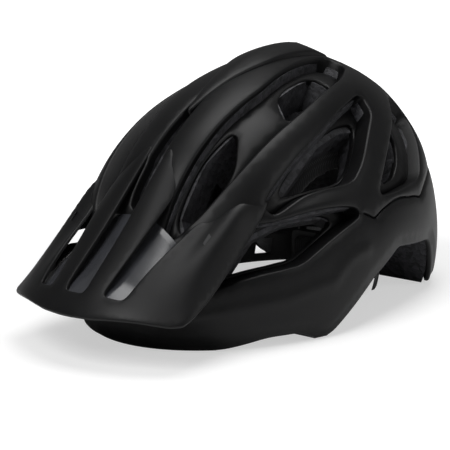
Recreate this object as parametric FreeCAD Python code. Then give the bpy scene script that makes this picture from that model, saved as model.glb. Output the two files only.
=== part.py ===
import FreeCAD, Part
import math
import os

# Cycling helmet with a peak: crown, fit system, strap loop and buckle.
# Frame: +Z up, -Y front, +X the wearer's left. The rim rests on Z = 0.
# Sizes are millimetres and degrees.

# Outside of the crown: an ellipsoid that leans back
CROWN_HALF_WIDTH = 102.0
CROWN_HALF_LENGTH = 154.0
CROWN_HEIGHT = 135.0
CROWN_Y = 26.5
CROWN_Z = 32.1
CROWN_LEAN = 15.1

# Walls
SHELL_WALL = 1.2
BOND_GAP = 0.2
SHELL_SEAM = 0.6

# Head cavity
HEAD_HALF_WIDTH = 76.0
HEAD_HALF_LENGTH = 113.0
HEAD_HEIGHT = 106.0

# Rim, side view
FRONT_FLAT_END = -98.0
BROW_RISE_RUN = 24.0
EAR_DROP_RUN = 14.0
BROW_LIFT = 6.0
EAR_FRONT = -38.0
EAR_BACK = -28.0
ARCH_FRONT = 14.0
ARCH_RISE = 32.0
ARCH_TOP_Y = 45.0
ARCH_TOP = 47.0
LOBE_TOP_Y = 100.0
LOBE_TOP = 40.0
LOBE_FRONT = 126.0
NAPE_HALF_WIDTH = 34.0
NAPE_NOTCH = 36.0

# Seam between the shells, side view: (station, height)
SEAM_LINE = ((-104.5, 40.0), (-66.5, 50.0), (-35.0, 59.0), (6.0, 72.0), (90.0, 78.0))
SEAM_FRONT_Z = 36.0

# Raised tail on the crown
TAIL_SHIFT = 22.0
TAIL_WALL = 1.6

# Vent depths
CHANNEL_DEPTH = 9.0
SIDE_DEPTH = 12.0
REAR_DEPTH = 8.0
GROOVE_DEPTH = 6.0

# Peak
PEAK_FRONT = 179.3
PEAK_CORNER_Y = 154.0
PEAK_HALF_WIDTH = 72.0
PEAK_TOP_HALF_WIDTH = 66.0
PEAK_WALL = 2.2
PEAK_GAP = 0.4
PEAK_LIP_Y = -169.0
PEAK_LIP_Z = 45.6
PEAK_SLOPE = 0.88
SLOT_HALF_WIDTH = 8.3
SIDE_SLOT_IN = 21.0
SIDE_SLOT_OUT = 35.0
SCOOP_WALL = 1.6
SCOOP_DROP = 9.0
SCOOP_MIDDLE_DROP = 5.0
SCOOP_BACK_Y = -122.0
SCOOP_ARCH = 9.0
SCOOP_MARGIN = 9.0
STUD_FOOT_WIDTH = 5.0
STUD_FOOT_LENGTH = 6.0
STUD_RADIUS = 3.0
STUD_CLEARANCE = 0.1
STUD_X = 58.0
STUD_Z = 66.0
STUD_LENGTH = 32.0
STUD_ROOT_Y = -112.0
GROMMET_WALL = 2.0
GROMMET_LENGTH = 14.0

# Belts and cradle
BELT_WALL = 1.6
BELT_SIDE_GAP = 2.5
BELT_REAR_GAP = 10.0
BELT_LOW = 24.0
BELT_HIGH = 38.0
BELT_FRONT = -47.0
BELT_END = 62.0
PIVOT_Y = -38.0
PIVOT_Z = 31.0
PIVOT_RADIUS = 2.5
PIVOT_CLEARANCE = 0.08
PIVOT_HEAD_RADIUS = 4.5
PIVOT_HEAD_GAP = 3.0
PIVOT_HEAD_WALL = 1.4
CRADLE_TRAVEL = 5.0
CRADLE_LOW = 4.0
CRADLE_HIGH = 42.0
FRAME_BAR = 6.0
LOW_WINDOW_IN = 48.0
HIGH_WINDOW_IN = 40.0
WINDOW_OUT = 56.0

# Dial gearing
DIAL_Z = 17.0
MODULE = 1.0
PINION_TEETH = 12
PRESSURE_ANGLE = 20.0
BACKLASH = 0.24
RACK_TEETH = 11
RACK_BODY = 2.6
GEAR_WIDTH = 3.0
GEAR_CLEARANCE = 0.3
HOUSING_HALF_LENGTH = 34.0
HOUSING_FRONT = 107.0
HOUSING_WALL = 2.0
HUB_RADIUS = 3.6
HUB_CLEARANCE = 0.08
KNOB_RADIUS = 13.0
KNOB_THICKNESS = 9.0
KNOB_SCALLOPS = 14
CLICK_RADIUS = 9.0
CLICK_WALL = 1.6
CLICK_NOTCHES = 24
SCREW_RADIUS = 1.5

# Height strip behind the head
STRIP_HALF_WIDTH = 7.0
STRIP_TOP = 78.0
GUIDE_GAP = 0.6
GUIDE_LOW = 52.0
GUIDE_HIGH = 70.0
GUIDE_LIP = 2.5

# Webbing loop, standing on its edge inside the rim
WEB_WIDTH = 15.0
WEB_WALL = 1.2
WEB_LOW = 1.6
LOOP_HALF_WIDTH = 57.0
LOOP_FRONT = -44.0
LOOP_CORNER = 20.0
DIVIDER_FRONT = 22.0
DIVIDER_LENGTH = 20.0
DIVIDER_WALL = 6.0
LEVER_WALL = 2.4
LEVER_PIN_RADIUS = 1.0
LEVER_CLEARANCE = 0.06
ANCHOR_RADIUS = 6.0
ANCHOR_WALL = 1.8
ANCHOR_STEM = 2.5
ANCHOR_DEPTH = 9.0
FRONT_ANCHOR = (-30.0, 13.0)
REAR_ANCHOR = (56.0, 62.0)

# Buckle, on edge at the front of the loop
BUCKLE_HEIGHT = 18.0
BUCKLE_WALL = 8.0
SOCKET_LENGTH = 22.0
TONGUE_LENGTH = 18.0
PRONG_LENGTH = 13.0
PRONG_WIDTH = 3.0
PRONG_WALL = 3.6
BUCKLE_CLEARANCE = 0.35
KEEPER_WALL = 1.4
KEEPER_WIDTH = 6.0

# Padding
PAD_GAP = 0.4
PAD_WALL = 5.0
BROW_LOW = 16.0
BROW_HIGH = 40.0
BROW_END = -48.0
HEADBAND_END = -44.0
HEADBAND_WALL = 1.4
NAPE_PAD_WALL = 3.2
CROWN_PAD_LOW = 60.0
MIDDLE_PAD_HALF = 13.0
MIDDLE_PAD_FRONT = -34.0
MIDDLE_PAD_BACK = 62.0
SIDE_PAD_IN = 41.0
SIDE_PAD_OUT = 56.0
SIDE_PAD_FRONT = -32.0
SIDE_PAD_BACK = 60.0

BIG = 400.0
SIDES = ((1, "left"), (-1, "right"))


def vec(x, y, z):
    return FreeCAD.Vector(x, y, z)


def box(x0, x1, y0, y1, z0, z1):
    return Part.makeBox(x1 - x0, y1 - y0, z1 - z0, vec(x0, y0, z0))


def mirrored(shape):
    return shape.mirror(vec(0, 0, 0), vec(1, 0, 0))


def on_side(shape, side):
    return shape if side > 0 else mirrored(shape)


def rounded(shape, radius, chosen):
    edges = [e for e in shape.Edges if chosen(e)]
    return shape.makeFillet(radius, edges)


def along(edge, direction):
    line = edge.Vertexes[-1].Point.sub(edge.Vertexes[0].Point)
    return line.Length > 0 and abs(line.normalize().dot(direction)) > 0.999


def lean(point):
    """Crown frame to helmet frame."""
    a = math.radians(CROWN_LEAN)
    y = point[1] * math.cos(a) - point[2] * math.sin(a) + CROWN_Y
    z = point[1] * math.sin(a) + point[2] * math.cos(a) + CROWN_Z
    return vec(point[0], y, z)


def unlean(y, z):
    a = math.radians(CROWN_LEAN)
    dy = y - CROWN_Y
    dz = z - CROWN_Z
    return dy * math.cos(a) + dz * math.sin(a), dz * math.cos(a) - dy * math.sin(a)


def ellipsoid(half_width, half_length, height, back=0.0):
    """Leaning ellipsoid about the crown's centre, its poles at the sides."""
    ball = Part.makeSphere(1.0)
    ball.rotate(vec(0, 0, 0), vec(0, 1, 0), 90)
    size = FreeCAD.Matrix()
    size.scale(half_width, half_length, height)
    shape = ball.transformGeometry(size)
    shape.translate(vec(0, back, 0))
    shape.rotate(vec(0, 0, 0), vec(1, 0, 0), CROWN_LEAN)
    shape.translate(vec(0, CROWN_Y, CROWN_Z))
    return shape


def crown(inset, back=0.0):
    return ellipsoid(CROWN_HALF_WIDTH - inset, CROWN_HALF_LENGTH - inset,
                     CROWN_HEIGHT - inset, back)


def cavity(inset):
    return ellipsoid(HEAD_HALF_WIDTH - inset, HEAD_HALF_LENGTH - inset, HEAD_HEIGHT - inset)


BELT_HALF_WIDTH = HEAD_HALF_WIDTH - BELT_SIDE_GAP
BELT_HALF_LENGTH = HEAD_HALF_LENGTH - BELT_REAR_GAP


def belt_form(inset):
    return ellipsoid(BELT_HALF_WIDTH - inset, BELT_HALF_LENGTH - inset, HEAD_HEIGHT - inset)


def side_x(half_width, half_length, height, y, z):
    """Half width of a leaning ellipsoid at one height and station."""
    a, b = unlean(y, z)
    return half_width * math.sqrt(1 - (a / half_length) ** 2 - (b / height) ** 2)


def cavity_x(y, z, inset=0.0):
    return side_x(HEAD_HALF_WIDTH - inset, HEAD_HALF_LENGTH - inset, HEAD_HEIGHT - inset, y, z)


def belt_x(y, z):
    return side_x(BELT_HALF_WIDTH, BELT_HALF_LENGTH, HEAD_HEIGHT, y, z)


# Vent outlines are (share of the half width, degrees over the crown from the front)

GROOVE = [(-0.055, 40), (0.055, 40), (0.04, 62), (0.02, 80), (0.0, 96), (-0.02, 80), (-0.04, 62)]
CHANNEL = [(0.23, 34), (0.25, 56), (0.265, 70), (0.285, 86), (0.21, 108), (0.14, 122),
           (0.30, 124), (0.44, 114), (0.49, 106), (0.55, 86), (0.51, 58), (0.42, 42), (0.31, 34)]
FRONT_HOLE = [(0.27, 40), (0.27, 58), (0.325, 73), (0.485, 58), (0.425, 43), (0.33, 35)]
TOP_HOLE = [(0.335, 90), (0.27, 110), (0.43, 113), (0.505, 100), (0.53, 83)]
UPPER_RECESS = [(0.65, 50), (0.67, 68), (0.665, 88), (0.61, 106), (0.56, 116), (0.67, 116),
                (0.735, 110), (0.835, 97), (0.865, 84), (0.77, 61), (0.71, 48)]
UPPER_HOLE = [(0.70, 57), (0.68, 88), (0.67, 104), (0.68, 112), (0.765, 107), (0.84, 96),
              (0.855, 84), (0.765, 63)]
LOWER_RECESS = [(0.29, 13), (0.48, 24), (0.62, 42), (0.71, 46), (0.76, 50), (0.91, 78),
                (0.935, 78), (0.885, 43), (0.845, 32.5), (0.78, 29), (0.53, 21)]
LOWER_HOLE = [(0.56, 23.5), (0.775, 30), (0.84, 33.5), (0.88, 44), (0.915, 66), (0.87, 62),
              (0.75, 48.5), (0.64, 38)]
REAR_RECESS = [(0.44, 138), (0.51, 149), (0.70, 151), (0.85, 151.5), (0.92, 125), (0.925, 100),
               (0.84, 116), (0.69, 129)]
REAR_HOLE = [(0.655, 132), (0.73, 138), (0.82, 138), (0.88, 133), (0.905, 119), (0.85, 118),
             (0.71, 129.5)]
EXHAUST_HOLE = [(0.09, 130), (0.09, 150), (0.32, 151), (0.34, 136)]
TAIL = [(-0.01, 90), (0.01, 90), (0.16, 100), (0.14, 112), (0.10, 124), (-0.10, 124),
        (-0.14, 112), (-0.16, 100)]


def crown_point(share, degrees, scale, back=0.0):
    a = math.radians(degrees)
    k = math.sqrt(1 - share * share)
    return lean((CROWN_HALF_WIDTH * share * scale,
                 -CROWN_HALF_LENGTH * k * math.cos(a) * scale + back,
                 CROWN_HEIGHT * k * math.sin(a) * scale))


def face(points):
    return Part.Face(Part.makePolygon(points + points[:1]))


def fan(points):
    middle = vec(0, 0, 0)
    for p in points:
        middle = middle.add(p)
    middle = middle.multiply(1.0 / len(points))
    return [face([points[i - 1], points[i], middle]) for i in range(len(points))]


def radial_cutter(outline, low=0.3, high=1.4):
    """Closed wedge of an outline, from near the crown's centre to beyond its outside."""
    inner = [crown_point(s, a, low) for s, a in outline]
    outer = [crown_point(s, a, high) for s, a in outline]
    sides = [face([inner[i - 1], inner[i], outer[i], outer[i - 1]]) for i in range(len(outline))]
    solid = Part.Solid(Part.Shell(sides + fan(inner) + fan(outer)))
    if solid.Volume < 0:
        solid.reverse()
    return solid


def recess(outline, depth):
    return radial_cutter(outline, 0.6).cut(crown(depth))


def side_extrusion(points):
    """Solid across the whole width from a side-view outline."""
    wall = face([vec(-BIG, y, z) for y, z in points])
    return wall.extrude(vec(2 * BIG, 0, 0))


def below_rim(lift=0.0):
    """All that lies under the rim line."""
    points = [(-BIG, -BIG), (-BIG, lift), (FRONT_FLAT_END, lift),
              (FRONT_FLAT_END + BROW_RISE_RUN, BROW_LIFT + lift),
              (EAR_FRONT - EAR_DROP_RUN, BROW_LIFT + lift),
              (EAR_FRONT, lift), (EAR_BACK, lift), (ARCH_FRONT, ARCH_RISE + lift),
              (ARCH_TOP_Y, ARCH_TOP + lift), (LOBE_TOP_Y, LOBE_TOP + lift), (LOBE_FRONT, lift),
              (BIG, lift), (BIG, -BIG)]
    notch = box(-NAPE_HALF_WIDTH, NAPE_HALF_WIDTH, CROWN_Y, BIG, -BIG, NAPE_NOTCH + lift)
    return side_extrusion(points).fuse(notch)


def below_seam(gap):
    """All under the line that parts the upper shell from the lower one."""
    line = [(y, z + gap) for y, z in SEAM_LINE]
    points = [(-BIG, -BIG), (-BIG, SEAM_FRONT_Z + gap)] + line
    points += [(BIG, line[-1][1]), (BIG, -BIG)]
    return side_extrusion(points)


def both(shapes):
    return shapes + [mirrored(s) for s in shapes]


def through_holes():
    outlines = (FRONT_HOLE, TOP_HOLE, UPPER_HOLE, LOWER_HOLE, REAR_HOLE, EXHAUST_HOLE)
    return both([radial_cutter(o) for o in outlines])


def recesses():
    pairs = ((CHANNEL, CHANNEL_DEPTH), (UPPER_RECESS, SIDE_DEPTH), (LOWER_RECESS, SIDE_DEPTH),
             (REAR_RECESS, REAR_DEPTH))
    return both([recess(o, d) for o, d in pairs]) + [recess(GROOVE, GROOVE_DEPTH)]


def largest(shape):
    return max(shape.Solids, key=lambda s: s.Volume)


def stud_axis(side, y, radius, length):
    return Part.makeCylinder(radius, length, vec(side * STUD_X, y, STUD_Z), vec(0, 1, 0))


def anchor_places():
    """Each strap anchor: side, station, height and the cavity wall there."""
    places = []
    for y, z in (FRONT_ANCHOR, REAR_ANCHOR):
        for side, _ in SIDES:
            places.append((side, y, z, cavity_x(y, z)))
    return places


def grommet_bores():
    outer = STUD_RADIUS + STUD_CLEARANCE + GROMMET_WALL + BOND_GAP
    return [stud_axis(side, STUD_ROOT_Y, outer, STUD_LENGTH + 2.0) for side, _ in SIDES]


def liner_bores():
    """Seats for grommets, temple pins, and strap anchors."""
    bores = grommet_bores()
    for side, _ in SIDES:
        x = cavity_x(PIVOT_Y, PIVOT_Z)
        bores.append(Part.makeCylinder(PIVOT_RADIUS + BOND_GAP, 9.0,
                                       vec(side * (x - 2.0), PIVOT_Y, PIVOT_Z), vec(side, 0, 0)))
    for side, y, z, x in anchor_places():
        seat = vec(side * (x - BOND_GAP), y, z)
        stem = Part.makeCylinder(ANCHOR_STEM + BOND_GAP, ANCHOR_DEPTH + 1.0, seat, vec(side, 0, 0))
        cap = Part.makeCylinder(ANCHOR_RADIUS + BOND_GAP, ANCHOR_DEPTH, seat, vec(-side, 0, 0))
        bores.append(cap.fuse(stem))
    return bores


def make_shells_and_liner(parts):
    """Moulded foam liner under an upper and a lower polycarbonate shell."""
    holes = through_holes()
    hollows = recesses()
    liner = crown(SHELL_WALL + BOND_GAP).cut(cavity(0.0))
    liner = liner.cut([below_rim()] + hollows + holes + liner_bores())
    parts["eps_liner"] = largest(liner)
    skin = crown(0.0).cut(crown(SHELL_WALL))
    skin = skin.cut([below_rim(SHELL_SEAM)] + hollows + holes + grommet_bores())
    lower = below_seam(-SHELL_SEAM / 2)
    parts["lower_shell"] = largest(skin.common(lower))
    upper = skin.cut(below_seam(SHELL_SEAM / 2))
    parts["upper_shell"] = Part.Compound([s for s in upper.Solids if s.Volume > 100])


def make_tail(parts):
    """Hollow raised tail bonded along the crown."""
    whole = radial_cutter(TAIL, 0.7).common(crown(0.0, TAIL_SHIFT))
    whole = whole.cut(crown(-BOND_GAP))
    core = ellipsoid(CROWN_HALF_WIDTH - TAIL_WALL, CROWN_HALF_LENGTH - TAIL_WALL,
                     CROWN_HEIGHT - TAIL_WALL, TAIL_SHIFT)
    inner = [(s * 0.8, a - (2.0 if a > 110 else -2.0)) for s, a in TAIL]
    hollow = radial_cutter(inner, 0.7).common(core)
    parts["crown_tail"] = largest(whole.cut(hollow))


def peak_section(y, mid, edge, low, wall):
    """Cross-section of the peak's envelope at one station."""
    w = PEAK_TOP_HALF_WIDTH - wall
    outer = PEAK_HALF_WIDTH - wall
    top = Part.Arc(vec(-w, y, edge - wall), vec(0, y, mid - wall), vec(w, y, edge - wall)).toShape()
    low = low - (8.0 if wall else 0.0)
    walls = Part.makePolygon([vec(w, y, edge - wall), vec(outer, y, low), vec(-outer, y, low),
                              vec(-w, y, edge - wall)])
    return Part.Wire([top] + walls.Edges)


def peak_stations():
    """Station, middle height, shoulder height and skirt height along the peak."""
    lip = PEAK_LIP_Z
    return ((-58.0, lip + PEAK_SLOPE * 111.0, 100.0, 97.0),
            (-85.0, lip + PEAK_SLOPE * 84.0, 88.0, 72.0),
            (-124.0, lip + PEAK_SLOPE * 45.0, 57.0, 43.0),
            (-PEAK_CORNER_Y, lip + PEAK_SLOPE * 15.0, 33.0, 27.0),
            (PEAK_LIP_Y, lip, 20.0, 12.0),
            (-PEAK_FRONT - 3.0, 28.0, 8.0, 0.0))


def peak_envelope(wall):
    sections = [peak_section(y, m, e, s, wall) for y, m, e, s in peak_stations()]
    return Part.makeLoft(sections, True, True)


def peak_plan():
    """Plan outline of the peak: brim arc in front, seam line behind."""
    w = PEAK_HALF_WIDTH + 1.0
    corner = vec(w - 6.0, -PEAK_CORNER_Y, 0)
    brim = Part.Arc(vec(-corner.x, corner.y, 0), vec(0, -PEAK_FRONT, 0), corner).toShape()
    half = [corner, vec(w, -PEAK_CORNER_Y + 8.0, 0), vec(w, -62.0, 0), vec(67.0, -66.0, 0),
            vec(53.0, -93.0, 0), vec(44.0, -102.0, 0), vec(31.0, -106.0, 0),
            vec(14.0, -89.0, 0), vec(8.0, -85.0, 0)]
    other = [vec(-p.x, p.y, 0) for p in reversed(half)]
    rest = Part.makePolygon(half + other)
    return Part.Face(Part.Wire([brim] + rest.Edges)).extrude(vec(0, 0, BIG))


def peak_slots():
    """Three air slots between the peak's four ribs, open at the crown."""
    top = -70.0
    middle = [(-SLOT_HALF_WIDTH, PEAK_LIP_Y), (SLOT_HALF_WIDTH, PEAK_LIP_Y), (5.0, top), (-5.0, top)]
    side = [(SIDE_SLOT_IN, PEAK_LIP_Y + 3.0), (SIDE_SLOT_OUT, PEAK_LIP_Y + 6.5),
            (44.0, -95.0), (44.0, top), (27.0, top), (27.0, -95.0)]
    cut = [face([vec(x, y, 0) for x, y in o]).extrude(vec(0, 0, BIG)) for o in (middle, side)]
    return cut + [mirrored(cut[1])]


def make_peak(parts):
    """Peak with its scoop panel and the two studs that plug into the crown."""
    sheet = peak_envelope(0.0).cut(peak_envelope(PEAK_WALL))
    sheet = sheet.common(peak_plan()).cut([crown(-PEAK_GAP)] + peak_slots())
    parts["peak"] = largest(sheet)
    under = peak_envelope(PEAK_WALL + BOND_GAP)
    scoop_top = []
    for y, drop in ((PEAK_LIP_Y + 4.0, BOND_GAP), (PEAK_LIP_Y + 19.0, SCOOP_MIDDLE_DROP),
                    (SCOOP_BACK_Y, SCOOP_DROP)):
        mid = PEAK_LIP_Z + PEAK_SLOPE * (y - PEAK_LIP_Y) - PEAK_WALL - drop
        scoop_top.append((y, mid))
    parts["peak_scoops"] = largest(scoop_panel(scoop_top).common(under))
    studs = []
    for side, _ in SIDES:
        stud = stud_axis(side, STUD_ROOT_Y, STUD_RADIUS, STUD_LENGTH)
        x = side * STUD_X
        foot = box(x - STUD_FOOT_WIDTH / 2, x + STUD_FOOT_WIDTH / 2, STUD_ROOT_Y,
                   STUD_ROOT_Y + STUD_FOOT_LENGTH, STUD_Z, BIG)
        studs.append(stud.fuse(largest(foot.common(under))).removeSplitter())
    parts["peak_studs"] = Part.Compound([s.Solids[0] for s in studs])


def scoop_panel(stations):
    """Curved panel that ramps down under the slots."""
    half = SIDE_SLOT_OUT + SCOOP_MARGIN
    wires = []
    for y, mid in stations:
        fall = SCOOP_ARCH
        pts = [(-half, mid - fall), (0, mid), (half, mid - fall)]
        top = Part.Arc(*[vec(x, y, z) for x, z in pts]).toShape()
        low = Part.Arc(*[vec(x, y, z - SCOOP_WALL) for x, z in reversed(pts)]).toShape()
        ends = [Part.makeLine(vec(half, y, mid - fall), vec(half, y, mid - fall - SCOOP_WALL)),
                Part.makeLine(vec(-half, y, mid - fall - SCOOP_WALL), vec(-half, y, mid - fall))]
        wires.append(Part.Wire([top, ends[0], low, ends[1]]))
    return Part.makeLoft(wires, True, True)


def make_grommets(parts):
    """Rubber sockets in the liner that grip the peak's studs."""
    outer = STUD_RADIUS + STUD_CLEARANCE + GROMMET_WALL
    start = STUD_ROOT_Y + STUD_LENGTH + 1.0 - GROMMET_LENGTH
    rings = []
    for side, _ in SIDES:
        ring = stud_axis(side, start, outer, GROMMET_LENGTH)
        rings.append(ring.cut(stud_axis(side, start, STUD_RADIUS + STUD_CLEARANCE, GROMMET_LENGTH)))
    parts["peak_grommets"] = Part.Compound(rings)


def make_padding(parts):
    """Front headband, brow pad and crown pads inside the cavity."""
    band = cavity(PAD_GAP).cut(cavity(PAD_GAP + HEADBAND_WALL))
    front = box(-BIG, BIG, -BIG, HEADBAND_END, BROW_LOW, BROW_HIGH)
    parts["headband"] = largest(band.common(front))
    start = PAD_GAP * 2 + HEADBAND_WALL
    pad = cavity(start).cut(cavity(start + PAD_WALL))
    brow = box(-BIG, BIG, -BIG, BROW_END, BROW_LOW + 2.0, BROW_HIGH - 2.0)
    parts["brow_pad"] = largest(pad.common(brow))
    lining = cavity(PAD_GAP).cut(cavity(PAD_GAP + PAD_WALL))
    middle = lining.common(box(-MIDDLE_PAD_HALF, MIDDLE_PAD_HALF, MIDDLE_PAD_FRONT,
                               MIDDLE_PAD_BACK, CROWN_PAD_LOW, BIG))
    strips = [largest(middle)]
    for side, _ in SIDES:
        place = box(SIDE_PAD_IN, SIDE_PAD_OUT, SIDE_PAD_FRONT, SIDE_PAD_BACK, CROWN_PAD_LOW, BIG)
        strips.append(largest(lining.common(on_side(place, side))))
    parts["crown_pads"] = Part.Compound(strips)


def make_belts(parts):
    """Nylon belts that pivot on the temple pins."""
    form = belt_form(0.0).cut(belt_form(BELT_WALL))
    form = form.common(box(0, BIG, BELT_FRONT, BELT_END, BELT_LOW, BELT_HIGH))
    hole = Part.makeCylinder(PIVOT_RADIUS + PIVOT_CLEARANCE, BIG, vec(0, PIVOT_Y, PIVOT_Z),
                             vec(1, 0, 0))
    belt = largest(form.cut(hole))
    x = belt_x(PIVOT_Y, PIVOT_Z)
    for side, name in SIDES:
        parts["fit_belt_" + name] = on_side(belt, side)
    start = x - BELT_WALL - PIVOT_HEAD_GAP - PIVOT_HEAD_WALL
    pin = Part.makeCylinder(PIVOT_RADIUS, cavity_x(PIVOT_Y, PIVOT_Z) + 6.0 - start,
                            vec(start, PIVOT_Y, PIVOT_Z), vec(1, 0, 0))
    head = Part.makeCylinder(PIVOT_HEAD_RADIUS, PIVOT_HEAD_WALL, vec(start, PIVOT_Y, PIVOT_Z),
                             vec(1, 0, 0))
    pin = pin.fuse(head).removeSplitter()
    parts["temple_pins"] = Part.Compound([on_side(pin, side) for side, _ in SIDES])


def make_cradle(parts):
    """Rear cradle frame with windows, and the strip that sets its height."""
    form = belt_form(0.0).cut(belt_form(BELT_WALL))
    frame = form.common(box(-BIG, BIG, BELT_END, BIG, CRADLE_LOW, CRADLE_HIGH))
    house_low, house_high = housing_heights()
    gap = GEAR_CLEARANCE
    seat = box(-HOUSING_HALF_LENGTH, HOUSING_HALF_LENGTH, CROWN_Y, BIG, -BIG, house_high + gap)
    bar = FRAME_BAR
    cuts = [seat]
    for side, _ in SIDES:
        low = box(LOW_WINDOW_IN, WINDOW_OUT, CROWN_Y, BIG, CRADLE_LOW + bar, BELT_LOW - 3.0)
        high = box(HIGH_WINDOW_IN, WINDOW_OUT, CROWN_Y, BIG, BELT_LOW + 1.0, CRADLE_HIGH - bar)
        notch = box(WINDOW_OUT + bar, BIG, BELT_END - 1.0, BIG, -BIG, BELT_LOW)
        roof = box(WINDOW_OUT + bar, BIG, BELT_END - 1.0, BIG, BELT_HIGH, BIG)
        cuts += [on_side(c, side) for c in (low, high, notch, roof)]
    parts["rear_cradle"] = largest(frame.cut(cuts))
    strip = form.common(box(-STRIP_HALF_WIDTH, STRIP_HALF_WIDTH, CROWN_Y, BIG, CRADLE_HIGH,
                            STRIP_TOP))
    parts["height_strip"] = largest(strip)
    lip = STRIP_HALF_WIDTH + 1.0
    body = cavity(BOND_GAP)
    for step in range(4):
        path = belt_form(-GUIDE_GAP)
        path.rotate(vec(0, PIVOT_Y, PIVOT_Z), vec(1, 0, 0), CRADLE_TRAVEL * step / 3)
        body = body.cut(path)
    guide = body.common(box(-lip - GUIDE_LIP, lip + GUIDE_LIP, CROWN_Y, BIG, GUIDE_LOW, GUIDE_HIGH))
    parts["height_guide"] = largest(guide)


def housing_heights():
    reach = MODULE * PINION_TEETH / 2 + 1.25 * MODULE + RACK_BODY + GEAR_CLEARANCE
    return DIAL_Z - reach - HOUSING_WALL, DIAL_Z + reach + HOUSING_WALL


def rear_cylinder(radius, y0, y1):
    return Part.makeCylinder(radius, y1 - y0, vec(0, y0, DIAL_Z), vec(0, 1, 0))


def gear_plane():
    return HOUSING_FRONT + HOUSING_WALL + GEAR_CLEARANCE


def involute_pinion():
    """Spur pinion about Y, a tooth space centred straight up and straight down."""
    pitch = MODULE * PINION_TEETH / 2
    base = pitch * math.cos(math.radians(PRESSURE_ANGLE))
    tip = pitch + MODULE * 0.9
    root = pitch - MODULE * 1.25
    roll = math.tan(math.radians(PRESSURE_ANGLE)) - math.radians(PRESSURE_ANGLE)
    half = math.pi / (2 * PINION_TEETH) - BACKLASH / (4 * pitch) + roll
    flank = []
    for k in range(7):
        r = base + (tip - base) * k / 6
        t = math.acos(base / r)
        flank.append((r, half - (math.tan(t) - t)))
    points = []
    for tooth in range(PINION_TEETH):
        middle = 2 * math.pi * (tooth + 0.5) / PINION_TEETH
        ray = [(root, -half)] + [(r, -a) for r, a in flank]
        ray += [(r, a) for r, a in reversed(flank)] + [(root, half)]
        for r, a in ray:
            angle = middle + a
            points.append(vec(r * math.sin(angle), gear_plane(), DIAL_Z + r * math.cos(angle)))
    return face(points).extrude(vec(0, GEAR_WIDTH, 0))


def rack(up):
    """Straight rack above (up = 1) or below (-1) the pinion, a tooth in the pinion's space."""
    pitch = math.pi * MODULE
    line = PINION_TEETH * MODULE / 2
    slope = math.tan(math.radians(PRESSURE_ANGLE))
    half = pitch / 4 - BACKLASH / 4
    tip = line - 0.9 * MODULE
    root = line + 1.25 * MODULE
    points = []
    first = -(RACK_TEETH // 2)
    for tooth in range(RACK_TEETH):
        x = (first + tooth) * pitch
        points += [(x - half - 1.25 * MODULE * slope, root), (x - half + 0.9 * MODULE * slope, tip),
                   (x + half - 0.9 * MODULE * slope, tip), (x + half + 1.25 * MODULE * slope, root)]
    end = -first * pitch + pitch / 2
    points = [(-end, root)] + points + [(end, root), (end, root + RACK_BODY), (-end, root + RACK_BODY)]
    outline = [vec(x, gear_plane(), DIAL_Z + up * z) for x, z in points]
    return face(outline).extrude(vec(0, GEAR_WIDTH, 0))


def make_dial(parts):
    """Housing with a pinion and two racks, and the knob that turns them."""
    low, high = housing_heights()
    w = HOUSING_HALF_LENGTH - GEAR_CLEARANCE
    inner_low = low + HOUSING_WALL
    inner_high = high - HOUSING_WALL
    back = gear_plane() + GEAR_WIDTH + GEAR_CLEARANCE
    body = box(-w, w, HOUSING_FRONT, back, low, high)
    body = rounded(body, 4.0, lambda e: along(e, vec(0, 1, 0)))
    pocket = box(-w + HOUSING_WALL, w - HOUSING_WALL, HOUSING_FRONT + HOUSING_WALL, BIG, inner_low,
                 inner_high)
    seat = rear_cylinder(SCREW_RADIUS + HUB_CLEARANCE, 0, BIG)
    parts["dial_housing"] = body.cut([pocket, seat])
    cover = box(-w, w, back, back + HOUSING_WALL, low, high)
    cover = rounded(cover, 4.0, lambda e: along(e, vec(0, 1, 0)))
    hub_hole = rear_cylinder(HUB_RADIUS + HUB_CLEARANCE, 0, BIG)
    parts["housing_cover"] = cover.cut(hub_hole)
    pinion = involute_pinion().cut(rear_cylinder(SCREW_RADIUS, 0, BIG))
    parts["dial_pinion"] = pinion
    parts["rack_left"] = rack(1)
    parts["rack_right"] = rack(-1)
    make_knob(parts, back + HOUSING_WALL)


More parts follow.
